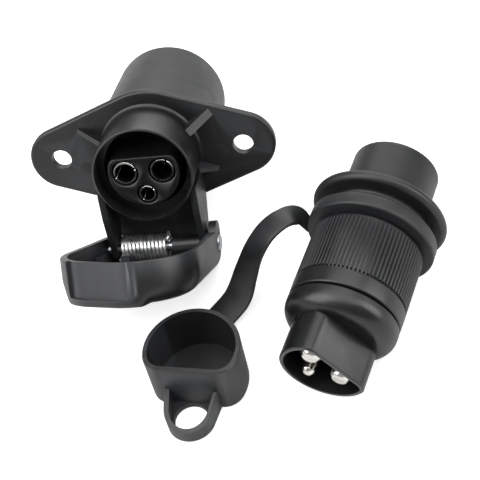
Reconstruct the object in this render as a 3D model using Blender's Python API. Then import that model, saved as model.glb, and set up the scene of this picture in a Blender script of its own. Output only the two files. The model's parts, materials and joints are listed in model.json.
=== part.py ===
"""Three-pole trailer wiring connector: a flanged socket with a hinged lid, and its plug with a
tethered dust cap. Metres, +Z up. Turned and extruded pieces are drawn along "forward", the way a
mouth faces, which is -Y of the frame they are parented to."""

import math

import bmesh
import bpy
from mathutils import Matrix, Vector

# Contacts and the keyed island that carries them
large_pin_radius = 0.0030
small_pin_radius = 0.0020
sleeve_wall = 0.0007
pin_slip = 0.00005  # between a pin and its sleeve
large_contact_x = 0.0059
large_contact_z = 0.0003
small_contact_z = -0.0074
island_radius = 0.0114
island_flat = 0.0054  # height of the key flat above the axis
island_corner = 0.0028
contact_gap = 0.00035  # around a sleeve in the island
terminal_step = 0.0008  # a terminal is this much larger than its sleeve
island_edge = 0.0005
carrier_back = -0.0130  # forward distances from the flange's front face, like all of the socket's
counterbore = -0.0095
terminal_back = -0.0225
screw_station = -0.0185
wire_bore_share = 0.62  # of the pin's radius
slot_width = 0.0006

# Plug nose, which slides over the island and into the barrel
nose_gap = 0.0003
nose_wall = 0.0012

# Socket
hole_spacing = 0.0600
hole_radius = 0.0033
flange_thickness = 0.0030
flange_middle_radius = 0.0208
flange_end_radius = 0.0104
flange_edge = 0.0006
boot_recess = 0.0004  # sunk into the flange's back where the boot meets it
barrel_root = 0.0014  # fillet between barrel and flange
barrel_wall = 0.00265
barrel_length = 0.0172
mouth_step_depth = 0.0016
mouth_lip = 0.0007
island_recess = 0.0019
seat_wall = 0.0017  # wall of the spigot behind the flange
spigot_length = 0.0090
cover_length = 0.0474  # from the flange's front face
cover_wall = 0.0028
cover_edge = 0.0035
cover_clearance = 0.0003
cable_hole_radius = 0.0045
cable_lip = 0.0016
cable_lip_length = 0.0050
gusset_thickness = 0.0016
gussets = ((30, 0.0098, 0.0064), (-20, 0.0078, 0.0050),
           (157, 0.0100, 0.0048), (200, 0.0060, 0.0030))  # degrees, reach, height

# Hinge and lid
hinge_drop = 0.0289
hinge_forward = 0.0110
pin_radius = 0.0015
pin_head_radius = 0.0027
pin_head_height = 0.0011
hinge_clearance = 0.00015
cheek_thickness = 0.0021
cheek_end_radius = 0.0035
web_back = 0.0008
web_front = 0.0030
web_half = 0.0146
web_top = -0.0120
web_foot = 0.0021  # how far below the hinge axis the bracket's web ends
boss_radius = 0.0031
lid_wall = 0.0014
lid_floor = 0.0018
lid_skirt = 0.0040  # how far the lid's rim stands inside the hinge axis
lid_clearance = 0.0008
lid_bulge = (-0.0076, 0.0264, 0.0175)  # extra round on the thumb side: across, up, radius
lid_heel_radius = 0.0048
heel_relief = 0.0013  # the heel's rounding takes this off its reach to the floor
heel_inside = 0.0045  # how far the hollow reaches behind the hinge axis
seal_thickness = 0.0009
seal_width = 0.0040
seal_inset = 0.0005  # from the barrel's outside
lid_corner = 0.0012  # bevel between the lid's wall and floor inside
ear_radii = (0.0034, 0.0042)  # round the pin on the thumb side and on the other
scoop_depth = 0.0009
scoop_angles = (72, 138)
ledge_angles = (78, 150)
ledge_reach = 0.0060
ledge_thickness = 0.0021
spring_blocks = (-0.0178, -0.0095)
spring_block_width = 0.0028
open_angle = math.radians(70.0)
spring_radius = 0.0040
spring_wire = 0.0010
spring_turns = 12.5
spring_left = -0.0128
spring_right = 0.0030

# Plug
collar_step = 0.0001  # the collar is this much smaller than the sleeve
collar_length = 0.0070
collar_edge = 0.0052
nose_length = 0.0120
sleeve_radius = 0.0170
sleeve_length = 0.0250
sleeve_rear = 0.0110  # from the disc's middle plane
sleeve_wall_thickness = 0.0017
body_wall = 0.0019
disc_radius = 0.0210
disc_thickness = 0.0034
tail_radius = 0.0136
tail_length = 0.0195
ring_radius = 0.0197
ring_width = 0.0044
piece_gap = 0.0003
pin_carrier_length = 0.0100
terminal_length = 0.0100
pin_recess = 0.0011  # the tips stand this far inside the nose
pin_chamfer = 0.0008
tail_bore = 0.0062
tail_wall = 0.0022
grommet_bore = 0.0042
grommet_length = 0.0090

# Tethered dust cap
cap_height = 0.0175
cap_wall = 0.0014
cap_gap = 0.0002
loop_reach = 0.0125
loop_end_radius = 0.0072
loop_hole_radius = 0.0050
loop_thickness = 0.0018
loop_rim = 0.0014  # wall round the loop
loop_rim_back = 0.0092  # its height where it meets the cup
loop_rim_front = 0.0046
strap_thickness = 0.0013
strap_width = 0.0096

# Resting places on the floor; the socket's flange stands at this point of the row's frame
socket_x = -0.0254
socket_y = 0.01937
plug_offset = Vector((0.0713, -0.0254, 0.0))
plug_yaw = math.radians(-19.2)
plug_roll = math.radians(50.0)
cap_offset = Vector((0.0154, -0.0680, 0.0))
cap_yaw = math.radians(-8.0)

# Worked out from the above
nose_inner = island_radius + nose_gap
nose_outer = nose_inner + nose_wall
nose_inner_flat = island_flat + nose_gap
nose_outer_flat = nose_inner_flat + nose_wall
barrel_bore = nose_outer + nose_gap
barrel_radius = barrel_bore + barrel_wall
seat_radius = barrel_radius - seat_wall + 0.0003
collar_radius = sleeve_radius - collar_step
cover_inner = seat_radius + seat_wall + cover_clearance
cover_radius = cover_inner + cover_wall
mouth = barrel_length
island_face = barrel_length - island_recess


def material(name, color, roughness, metallic=0.0):
    made = bpy.data.materials.new(name)
    made.use_nodes = True
    shader = made.node_tree.nodes["Principled BSDF"]
    shader.inputs["Base Color"].default_value = (*color, 1.0)
    shader.inputs["Roughness"].default_value = roughness
    shader.inputs["Metallic"].default_value = metallic
    return made


def node(name, bm, parent, finish, smooth_angle=32.0):
    """Makes an object of bm, with its faces turned outwards, under the parent."""
    bmesh.ops.remove_doubles(bm, verts=bm.verts, dist=1e-7)
    bmesh.ops.recalc_face_normals(bm, faces=bm.faces)
    if bm.calc_volume(signed=True) < 0:
        bmesh.ops.reverse_faces(bm, faces=bm.faces)
    mesh = bpy.data.meshes.new(name)
    bm.to_mesh(mesh)
    bm.free()
    mesh.shade_smooth()
    mesh.set_sharp_from_angle(angle=math.radians(smooth_angle))
    made = bpy.data.objects.new(name, mesh)
    bpy.context.scene.collection.objects.link(made)
    made.parent = parent
    if finish:
        mesh.materials.append(finish)
    return made


def frame(name, parent=None, location=(0, 0, 0), rotation=(0, 0, 0)):
    made = bpy.data.objects.new(name, None)
    bpy.context.scene.collection.objects.link(made)
    made.parent = parent
    made.location = location
    made.rotation_euler = rotation
    return made


def boolean(target, other, operation):
    other.hide_render = True
    other.display_type = "WIRE"
    made = target.modifiers.new(f"{operation.lower()} {other.name}", "BOOLEAN")
    made.operation = operation
    made.solver = "EXACT"
    made.object = other


def cut(target, *cutters):
    for cutter in cutters:
        boolean(target, cutter, "DIFFERENCE")


def join(target, *others):
    for other in others:
        boolean(target, other, "UNION")


def loft(rings, closed=False):
    """Skins rings of equal length. A ring of one point is a tip; closed joins the last ring to the first."""
    bm = bmesh.new()
    made = [[bm.verts.new(p) for p in ring] for ring in rings]
    pairs = list(zip(made, made[1:]))
    if closed:
        pairs.append((made[-1], made[0]))
    for low, high in pairs:
        count = max(len(low), len(high))
        for i in range(count):
            j = (i + 1) % count
            if len(low) == 1:
                bm.faces.new((low[0], high[j], high[i]))
            elif len(high) == 1:
                bm.faces.new((low[i], low[j], high[0]))
            else:
                bm.faces.new((low[i], low[j], high[j], high[i]))
    if not closed:
        for ring in (made[0], made[-1]):
            if len(ring) > 2:
                bm.faces.new(ring)
    return bm


def turned(profile, segments=36, center=(0.0, 0.0)):
    """Turns a closed profile of (radius, forward) points about the forward axis through center."""
    rings = []
    for radius, forward in profile:
        count = segments if radius > 1e-7 else 1
        angles = [math.tau * i / segments for i in range(count)]
        rings.append([Vector((center[0] + radius * math.cos(a), -forward,
                              center[1] + radius * math.sin(a))) for a in angles])
    return loft(rings, closed=profile[0][0] > 1e-7)


def rod(radius, start, end, segments=24, center=(0.0, 0.0)):
    return turned([(0, end), (radius, end), (radius, start), (0, start)], segments, center)


def prism(outline, start, end, side=False):
    """Extrudes an outline of (across, up) points forward, or with side of (forward, up) points across."""
    def point(a, b, along):
        return Vector((along, -a, b)) if side else Vector((a, -along, b))
    return loft([[point(a, b, along) for a, b in outline] for along in (start, end)])


def arc(center, radius, start, end, steps):
    angles = [math.radians(start + (end - start) * i / steps) for i in range(steps + 1)]
    return [(center[0] + radius * math.cos(a), center[1] + radius * math.sin(a)) for a in angles]


def hull(circles, grow=0.0, first=0.0, last=360.0, step=9.0):
    """The outline round circles of (across, up, radius), or its part facing first to last degrees."""
    count = round((last - first) / step)
    points = []
    for i in range(count if last - first >= 360 else count + 1):
        angle = math.radians(first + (last - first) * i / count)
        way = Vector((math.cos(angle), math.sin(angle)))
        x, z, radius = max(circles, key=lambda c: way.dot(c[:2]) + c[2])
        points.append((x + way.x * (radius + grow), z + way.y * (radius + grow)))
    return points


def keyed_round(radius, flat, corner, steps=24):
    """A circle with a flat across its top and rounded corners where they meet."""
    up = flat - corner
    across = math.sqrt((radius - corner) ** 2 - up ** 2)
    turn = math.degrees(math.atan2(up, across))
    right = arc((across, up), corner, 90, turn, 4)
    round_part = arc((0, 0), radius, turn, -180 - turn, steps)
    left = arc((-across, up), corner, 180 - turn, 90, 4)
    return right + round_part[1:-1] + left


def poles():
    """Centre, pin radius and name of each contact."""
    return [((-large_contact_x, large_contact_z), large_pin_radius, "large_left"),
            ((large_contact_x, large_contact_z), large_pin_radius, "large_right"),
            ((0.0, small_contact_z), small_pin_radius, "small")]


# Socket

def socket_tilt():
    """How far the socket leans back when its cover and its lid's heel lie on the floor, and its height."""
    reach = hinge_forward + cover_length - cover_edge
    rise = hinge_drop - (cover_radius - cover_edge)
    lift = heel_contact() - cover_edge
    tilt = math.asin(lift / math.hypot(reach, rise)) + math.atan2(rise, reach)
    height = heel_contact() - hinge_forward * math.sin(tilt) + hinge_drop * math.cos(tilt)
    return tilt, height


def heel_contact():
    """Distance from the hinge axis to the lowest part of the open lid's heel."""
    return lid_depth_out - heel_relief


def bore_cutter(parent):
    back = -flange_thickness - spigot_length - 0.002
    seat = 0.0007 + 0.0003
    profile = [(0, mouth + 0.002), (barrel_radius - mouth_lip, mouth + 0.002),
               (barrel_radius - mouth_lip, mouth - mouth_step_depth), (barrel_bore, mouth - mouth_step_depth),
               (barrel_bore, seat), (seat_radius, seat), (seat_radius, back), (0, back)]
    return node("bore cutter", turned(profile, 42), parent, None)


def cheek(sign, parent):
    """One plate of the hinge bracket, from the barrel's side down to the pin."""
    top = -0.006
    outline = arc((hinge_forward, -hinge_drop), cheek_end_radius, 180, 352, 14)
    outline += [(mouth - 0.0004, -0.0150), (mouth - 0.0004, top), (-0.0006, top), (-0.0006, -0.0120)]
    outer = sign * (barrel_radius - 0.0001)
    inner = outer - sign * cheek_thickness
    made = prism(outline, min(outer, inner), max(outer, inner), side=True)
    return node(f"cheek {sign}", made, parent, None)


def gusset(angle, reach, height, parent):
    """A triangular rib in the corner between barrel and flange."""
    start = barrel_radius - 0.0012
    corners = [(start, -0.001), (start + reach, -0.001), (start + reach, 0.0003),
               (barrel_radius + 0.0006, height), (start, height)]
    rings = []
    for across in (-gusset_thickness / 2, gusset_thickness / 2):
        spin = Matrix.Rotation(-math.radians(angle), 3, "Y")
        rings.append([spin @ Vector((r, -h, across)) for r, h in corners])
    return node(f"gusset {angle}", loft(rings), parent, None)


def socket_housing(parent, plastic):
    ends = [(0, 0, flange_middle_radius), (hole_spacing / 2, 0, flange_end_radius),
            (-hole_spacing / 2, 0, flange_end_radius)]
    edge = flange_edge
    steps = [(-edge, -flange_thickness), (0, -flange_thickness + edge), (0, -edge), (-edge, 0)]
    rings = [[Vector((x, -forward, z)) for x, z in hull(ends, grow)] for grow, forward in steps]
    housing = node("socket_housing", loft(rings), parent, plastic)
    seat = rod(cover_radius + piece_gap, -flange_thickness - 0.002, -flange_thickness + boot_recess, 36)
    cut(housing, node("boot seat", seat, parent, None))
    root = barrel_root
    rear = -flange_thickness - spigot_length
    barrel = [(0, mouth), (barrel_radius - 0.0004, mouth), (barrel_radius, mouth - 0.0004),
              (barrel_radius, root), (barrel_radius + root, -0.0006), (seat_radius + seat_wall, -0.0008),
              (seat_radius + seat_wall, rear), (0, rear)]
    join(housing, node("barrel", turned(barrel, 40), parent, None))
    join(housing, cheek(-1, parent), cheek(1, parent))
    foot = -hinge_drop - web_foot
    web = [(-web_half, web_top), (-web_half, foot), (web_half, foot), (web_half, web_top)]
    join(housing, node("bracket web", prism(web, web_back, web_front), parent, None))
    boss = rod(boss_radius, spring_right + 0.0012, barrel_radius - 0.0009)
    boss.transform(Matrix.Rotation(math.pi / 2, 4, "Z"))
    boss.transform(Matrix.Translation((0, -hinge_forward, -hinge_drop)))
    join(housing, node("pin boss", boss, parent, None))
    for angle, reach, height in gussets:
        join(housing, gusset(angle, reach, height, parent))
    cut(housing, bore_cutter(parent))
    for x in (-hole_spacing / 2, hole_spacing / 2):
        hole = rod(hole_radius, -0.006, 0.003, 24, (x, 0))
        cut(housing, node(f"flange hole {x:.2f}", hole, parent, None))
    cut(housing, hinge_hole(parent))
    return housing


def hinge_hole(parent, length=0.030):
    hole = rod(pin_radius + hinge_clearance, -length, length, 18)
    hole.transform(Matrix.Rotation(math.pi / 2, 4, "Z"))
    hole.transform(Matrix.Translation((0, -hinge_forward, -hinge_drop)))
    return node("hinge hole", hole, parent, None)


def sleeve_outer(pin):
    return pin + pin_slip + sleeve_wall


def contact_carrier(parent, plastic):
    outline = keyed_round(island_radius, island_flat, island_corner)
    edge = island_edge
    steps = [(1.0, 0.0005), (1.0, island_face - edge), (1.0 - edge / island_radius, island_face)]
    rings = [[Vector((x * k, -forward, z * k)) for x, z in outline] for k, forward in steps]
    carrier = node("contact_carrier", loft(rings), parent, plastic)
    flange = [(0, 0.0007), (seat_radius - 0.0003, 0.0007), (seat_radius - 0.0003, -0.0032),
              (0.0118, -0.0032), (0.0118, carrier_back), (0, carrier_back)]
    join(carrier, node("carrier flange", turned(flange, 36), parent, None))
    for center, pin, name in poles():
        outer = sleeve_outer(pin)
        room = outer + terminal_step + piece_gap
        steps = [(0, island_face + 0.001), (outer + contact_gap, island_face + 0.001),
                 (outer + contact_gap, counterbore), (room, counterbore),
                 (room, carrier_back - 0.001), (0, carrier_back - 0.001)]
        cut(carrier, node(f"contact hole {name}", turned(steps, 18, center), parent, None))
    return carrier


def carrier_nut(parent, plastic):
    """A ring pressed in behind the carrier's flange."""
    outer = seat_radius - 0.0002
    profile = [(outer, -0.0035), (outer, -0.0065), (0.0122, -0.0065), (0.0122, -0.0035)]
    return node("carrier_retaining_ring", turned(profile, 32), parent, plastic)


def contact(center, pin, name, turn, parent, brass):
    """A slotted sleeve in front and a screw terminal behind, turned from one bar."""
    outer = sleeve_outer(pin)
    bore = pin + pin_slip
    front = island_face - 0.0004
    collar = outer + terminal_step
    wire = pin * wire_bore_share
    profile = [(bore + 0.0003, front), (outer - 0.0001, front), (outer, front - 0.0003),
               (outer, counterbore - piece_gap), (collar, counterbore - piece_gap),
               (collar, terminal_back), (wire, terminal_back), (wire, -0.0150), (0.0006, -0.0150),
               (0.0006, -0.0030), (bore, -0.0030), (bore, front - 0.0005)]
    made = node(f"contact_{name}", turned(profile, 16, center), parent, brass)
    half = slot_width / 2
    slot = [(-0.006, -half), (0.006, -half), (0.006, half), (-0.006, half)]
    spin = math.radians(turn)
    slot = [(center[0] + x * math.cos(spin) - z * math.sin(spin),
             center[1] + x * math.sin(spin) + z * math.cos(spin)) for x, z in slot]
    cut(made, node(f"slot {name}", prism(slot, 0.0040, 0.020), parent, None))
    cut(made, terminal_bore(center, pin, name, parent))
    return made


def screw_way(center):
    return -1 if center[1] < -0.001 else 1


def upright(bm, center, way, parent, name, finish=None):
    """Stands a piece drawn forward on end at the screw's place in a terminal."""
    bm.transform(Matrix.Rotation(-way * math.pi / 2, 4, "X"))
    bm.transform(Matrix.Translation((center[0], -screw_station, center[1])))
    return node(name, bm, parent, finish)


def terminal_bore(center, pin, name, parent):
    return upright(rod(pin * 0.5 + 0.0002, pin * 0.3, 0.010, 16), center, screw_way(center), parent,
                   f"screw hole {name}")


def terminal_screw(center, pin, name, parent, steel):
    """A slotted cheese-head screw that clamps the wire."""
    shank = pin * 0.5
    head = shank + 0.0007
    top = sleeve_outer(pin) + terminal_step + piece_gap
    profile = [(0, top + 0.0016), (head, top + 0.0016), (head, top), (shank, top), (shank, pin * 0.35),
               (0, pin * 0.35)]
    made = upright(turned(profile, 14), center, screw_way(center), parent, f"terminal_screw_{name}", steel)
    half = slot_width / 2
    slot = [(-0.004, -half), (0.004, -half), (0.004, half), (-0.004, half)]
    cut(made, upright(prism(slot, top + 0.0009, top + 0.003), center, screw_way(center), parent,
                      f"drive slot {name}"))
    return made


def rear_cover(parent, rubber):
    """The soft boot over the terminals, with its cable hole."""
    front = -flange_thickness - piece_gap
    back = -cover_length
    bend = cover_length - cover_edge
    outside = [(r, -f) for f, r in arc((bend, cover_radius - cover_edge), cover_edge, 90, 0, 5)]
    inner_edge = cover_edge - cover_wall
    inside = [(r, -f) for f, r in arc((bend, cover_inner - inner_edge), inner_edge, 0, 90, 3)]
    lip = cable_hole_radius + cable_lip
    profile = [(cover_radius, front)] + outside
    profile += [(lip, back), (cable_hole_radius, back), (cable_hole_radius, back + cable_lip_length),
                (lip, back + cable_lip_length), (lip, back + cover_wall)]
    profile += inside + [(cover_inner, front)]
    return node("rear_cover", turned(profile, 36), parent, rubber)


def hinge_pin(parent, steel):
    head = lid_ear_outer - 0.0006
    profile = [(0, head + pin_head_height), (pin_head_radius - 0.0004, head + pin_head_height),
               (pin_head_radius, head + pin_head_height - 0.0003), (pin_head_radius, head),
               (pin_radius, head), (pin_radius, -lid_ear_outer - 0.0004), (0, -lid_ear_outer - 0.0004)]
    pin = turned(profile, 18)
    pin.transform(Matrix.Rotation(math.pi / 2, 4, "Z"))
    pin.transform(Matrix.Translation((0, -hinge_forward, -hinge_drop)))
    return node("hinge_pin", pin, parent, steel)


def sweep(points, radius, sides):
    """A round wire through points."""
    rings = []
    normal = None
    for i, point in enumerate(points):
        along = (points[min(i + 1, len(points) - 1)] - points[max(i - 1, 0)]).normalized()
        if normal is None:
            normal = along.orthogonal()
        normal = (normal - along * normal.dot(along)).normalized()
        other = along.cross(normal)
        rings.append([point + (normal * math.cos(a) + other * math.sin(a)) * radius
                      for a in (math.tau * k / sides for k in range(sides))])
    return loft(rings)


def lid_spring(parent, steel):
    """A torsion spring on the pin: one leg up the bracket's web, one along the lid's floor."""
    coil = spring_radius - spring_wire / 2
    span = spring_right - spring_left
    steps = round(spring_turns * 8)
    start = math.radians(-115)
    points = []
    for i in range(steps + 1):
        angle = start - math.tau * spring_turns * i / steps
        across = spring_left + span * i / steps
        points.append(Vector((across, -coil * math.cos(angle), coil * math.sin(angle))))
    first, last = points[0], points[-1]
    lid_way = Vector((0, -math.sin(open_angle), math.cos(open_angle)))
    leg = [first + lid_way * reach for reach in (0.0075, 0.005, 0.0025)]
    web_way = Vector((0, -last.z, last.y)).normalized()
    if web_way.z < 0:
        web_way = -web_way
    points = leg + points + [last + web_way * reach for reach in (0.0015, 0.0030)]
    return node("lid_spring", sweep(points, spring_wire / 2, 4), parent, steel, 60.0)


# Lid, drawn closed: forward is out of its outer face, up is away from the hinge

lid_depth_in = mouth - hinge_forward + piece_gap + seal_thickness + piece_gap
lid_depth_out = lid_depth_in + lid_floor
lid_ear_inner = barrel_radius + 0.0006
lid_ear_outer = lid_ear_inner + 0.0029


def lid_circles():
    ear = lid_ear_outer - lid_heel_radius
    return [(0, hinge_drop, barrel_radius + lid_clearance + lid_wall), lid_bulge,
            (ear, -0.0010, lid_heel_radius), (-ear, -0.0010, lid_heel_radius)]


def lid_hollow_circles():
    corner = 0.0018
    ear = lid_ear_inner - corner
    low = corner - heel_inside
    across, up, radius = lid_bulge
    return [(0, hinge_drop, barrel_radius + lid_clearance), (across, up, radius - 0.0022),
            (ear, low, corner), (-ear, low, corner)]


def slab(circles, steps):
    return loft([[Vector((x, -forward, z)) for x, z in hull(circles, grow)] for grow, forward in steps])


def lid(parent, plastic):
    out = lid_depth_out
    steps = [(-0.0004, -lid_skirt), (0, -lid_skirt + 0.0004), (0, 0.0020), (-0.0005, 0.0040),
             (-0.0018, out - 0.0024), (-0.0036, out - 0.0008), (-0.0064, out)]
    shell = node("lid", slab(lid_circles(), steps), parent, plastic)
    for sign, radius in zip((-1, 1), ear_radii):
        middle = sign * (lid_ear_inner + lid_ear_outer) / 2
        half = (lid_ear_outer - lid_ear_inner) / 2 - 0.0002
        outline = arc((-0.0030, 0.0002), radius, 90, 270, 10)
        outline += [(0.0026, -radius + 0.0002), (0.0026, radius + 0.0002)]
        ear = prism(outline, middle - half, middle + half, side=True)
        join(shell, node(f"ear {sign}", ear, parent, None))
    hollow = [(0, -lid_skirt - 0.003), (0, lid_depth_in - lid_corner), (-lid_corner, lid_depth_in)]
    cut(shell, node("lid hollow", slab(lid_hollow_circles(), hollow), parent, None))
    heel_gap = [(-0.0150, -0.012), (0.0010, -0.012), (0.0010, -0.0040), (-0.0150, -0.0040)]
    wide = lid_ear_inner - piece_gap
    cut(shell, node("heel gap", prism(heel_gap, -wide, wide, side=True), parent, None))
    join(shell, thumb_ledge(parent))
    cut(shell, thumb_scoop(parent))
    for x in spring_blocks:
        left, right = x - spring_block_width / 2, x + spring_block_width / 2
        block = prism([(left, 0.0084), (right, 0.0084), (right, 0.0114), (left, 0.0114)],
                      0.0002, lid_depth_in + 0.0005)
        join(shell, node(f"spring block {x:.3f}", block, parent, None))
    hole = rod(pin_radius + hinge_clearance, -0.030, 0.030, 18)
    hole.transform(Matrix.Rotation(math.pi / 2, 4, "Z"))
    cut(shell, node("lid pin hole", hole, parent, None))
    recess = rod(pin_head_radius + 0.0005, lid_ear_outer - 0.0010, lid_ear_outer + 0.003, 26)
    recess.transform(Matrix.Rotation(math.pi / 2, 4, "Z"))
    cut(shell, node("pin head recess", recess, parent, None))
    return shell


def sector(inner, outer, first, last, start, end):
    """The stretch of wall between two offsets of the lid's outline."""
    near = hull(lid_circles(), inner, first, last)
    far = hull(lid_circles(), outer, first, last)
    return prism(far + near[::-1], start, end)


def thumb_ledge(parent):
    ledge = sector(-ledge_reach, 0.0, *ledge_angles, lid_depth_out - ledge_thickness, lid_depth_out - 0.0001)
    return node("thumb ledge", ledge, parent, None)


def thumb_scoop(parent):
    front = lid_depth_out - ledge_thickness - 0.0001
    scoop = sector(-scoop_depth, 0.0030, *scoop_angles, -lid_skirt - 0.001, front)
    return node("thumb scoop", scoop, parent, None)


def lid_seal(parent, rubber):
    back = lid_depth_in - piece_gap
    front = back - seal_thickness
    outer = barrel_radius - seal_inset
    inner = outer - seal_width
    profile = [(outer, back), (outer, front), (inner, front), (inner, back)]
    return node("lid_seal", turned(profile, 32, (0, hinge_drop)), parent, rubber)


# Plug, with forward distances from the middle plane of its disc

collar_back = sleeve_rear + sleeve_length + 0.0006
collar_front = collar_back + collar_length
nose_front = collar_front + nose_length
shroud_floor = collar_front - 0.0014
body_outer = sleeve_radius - sleeve_wall_thickness - piece_gap
body_inner = body_outer - body_wall
spigot_outer = body_inner - piece_gap
spigot_inner = spigot_outer - 0.0020
carrier_front = shroud_floor - 0.0038


def plug_rest():
    """The nose-down angle and the height of the disc's middle when disc and collar lie on the floor."""
    rim = disc_thickness / 2
    reach = collar_front - collar_edge
    fall = (disc_radius - rim) - (collar_radius - collar_edge)
    drop = collar_edge - rim
    tilt = math.atan2(fall, reach) - math.asin(drop / math.hypot(reach, fall))
    return tilt, (disc_radius - rim) * math.cos(tilt) + rim


def front_body(parent, plastic):
    edge = arc((collar_front - collar_edge, collar_radius - collar_edge), collar_edge, 0, 90, 5)
    profile = [(0, collar_front)] + [(r, f) for f, r in edge]
    profile += [(collar_radius, collar_back + 0.0003), (collar_radius - 0.0003, collar_back),
                (spigot_outer, collar_back), (spigot_outer, 0.0140), (0, 0.0140)]
    body = node("plug_front_body", turned(profile, 36), parent, plastic)
    outline = keyed_round(nose_outer, nose_outer_flat, island_corner + nose_gap + nose_wall)
    lip = 0.0003
    steps = [(1, collar_front - 0.004), (1, nose_front - lip), (1 - lip / nose_outer, nose_front)]
    nose = [[Vector((x * k, -forward, z * k)) for x, z in outline] for k, forward in steps]
    join(body, node("nose", loft(nose), parent, None))
    hollow = keyed_round(nose_inner, nose_inner_flat, island_corner + nose_gap)
    cut(body, node("shroud hollow", prism(hollow, shroud_floor, nose_front + 0.002), parent, None))
    cut(body, node("rear bore", rod(spigot_inner, 0.010, carrier_front + piece_gap, 32), parent, None))
    for center, pin, name in poles():
        hole = rod(pin + piece_gap, carrier_front - 0.002, shroud_floor + 0.002, 18, center)
        cut(body, node(f"pin hole {name}", hole, parent, None))
    return body


def pin_carrier(parent, plastic):
    back = carrier_front - pin_carrier_length
    carrier = node("pin_carrier", rod(spigot_inner - piece_gap, back, carrier_front, 32), parent, plastic)
    for center, pin, name in poles():
        hole = rod(pin + piece_gap, back - 0.002, carrier_front + 0.002, 18, center)
        cut(carrier, node(f"carrier hole {name}", hole, parent, None))
    return carrier


def pin(center, radius, name, parent, brass):
    """A solid contact pin with a chamfered tip and a terminal behind the carrier."""
    tip = nose_front - pin_recess
    shoulder = carrier_front - pin_carrier_length - piece_gap
    back = shoulder - terminal_length
    terminal = radius + terminal_step
    wire = radius * wire_bore_share
    profile = [(0, tip), (radius - pin_chamfer, tip), (radius, tip - pin_chamfer), (radius, shoulder),
               (terminal, shoulder), (terminal, back), (wire, back), (wire, back + 0.0070), (0, back + 0.0070)]
    made = node(f"pin_{name}", turned(profile, 18, center), parent, brass)
    hole = rod(radius * 0.5 + 0.0002, radius * 0.3, 0.010, 16)
    cut(made, stand(hole, center, back, parent, f"pin screw hole {name}"))
    return made


def stand(bm, center, back, parent, name, finish=None):
    bm.transform(Matrix.Rotation(-math.pi / 2, 4, "X"))
    bm.transform(Matrix.Translation((center[0], -(back + 0.0038), center[1])))
    return node(name, bm, parent, finish)


def pin_screw(center, radius, name, parent, steel):
    back = carrier_front - pin_carrier_length - piece_gap - terminal_length
    shank = radius * 0.5
    top = radius + terminal_step + piece_gap
    reach = 0.0014
    profile = [(0, top + reach), (shank + 0.0005, top + reach), (shank + 0.0005, top), (shank, top),
               (shank, radius * 0.35), (0, radius * 0.35)]
    return stand(turned(profile, 14), center, back, parent, f"pin_screw_{name}", steel)


def seal_ring(parent, rubber):
    back = sleeve_rear + sleeve_length - 0.0012
    profile = [(body_outer, collar_back - piece_gap), (body_outer, back), (body_inner, back),
               (body_inner, collar_back - piece_gap)]
    return node("plug_seal_ring", turned(profile, 32), parent, rubber)


def rear_body(parent, rubber):
    """The boot: a tube under the sleeve, the round disc, and the cable tail."""
    rim = disc_thickness / 2
    front = sleeve_rear + sleeve_length - 0.0015
    disc_edge = [(r, f) for f, r in arc((0, disc_radius - rim), rim, 0, 180, 6)]
    tail_edge = [(r, f) for f, r in arc((0.0014 - tail_length, tail_radius - 0.0014), 0.0014, 90, 180, 3)]
    profile = [(body_outer, front), (body_outer, rim)] + disc_edge
    profile += [(tail_radius + 0.0006, -rim)] + tail_edge
    inner = tail_radius - tail_wall
    back = -tail_length
    profile += [(tail_bore, back), (tail_bore, back + tail_wall), (inner, back + tail_wall), (inner, -0.0010),
                (body_inner, 0.0010), (body_inner, front)]
    return node("plug_rear_body", turned(profile, 36), parent, rubber)


def cable_grommet(parent, rubber):
    back = -tail_length + tail_wall + piece_gap
    front = back + grommet_length
    outer = tail_radius - tail_wall - piece_gap
    profile = [(outer, front), (outer, back), (grommet_bore, back), (grommet_bore, front)]
    return node("cable_grommet", turned(profile, 28), parent, rubber)


def knurled_sleeve(parent, plastic):
    """The grip sleeve that turns on the boot's tube."""
    front = sleeve_rear + sleeve_length
    inner = sleeve_radius - sleeve_wall_thickness
    outer = sleeve_radius
    profile = [(inner, front), (outer - 0.0005, front), (outer - 0.0002, front - 0.0006),
               (outer, sleeve_rear + 0.0010), (outer - 0.0010, sleeve_rear), (inner, sleeve_rear)]
    return node("knurled_sleeve", turned(profile, 40), parent, plastic)


# Dust cap, its strap and the ring that holds it on the plug

ring_back = sleeve_rear - 2 * piece_gap - ring_width


def strap_ring(parent, rubber):
    outer = ring_radius
    profile = [(outer, ring_back + ring_width), (outer, ring_back), (body_outer + piece_gap, ring_back),
               (body_outer + piece_gap, ring_back + ring_width)]
    return node("strap_ring", turned(profile, 36), parent, rubber)


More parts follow.
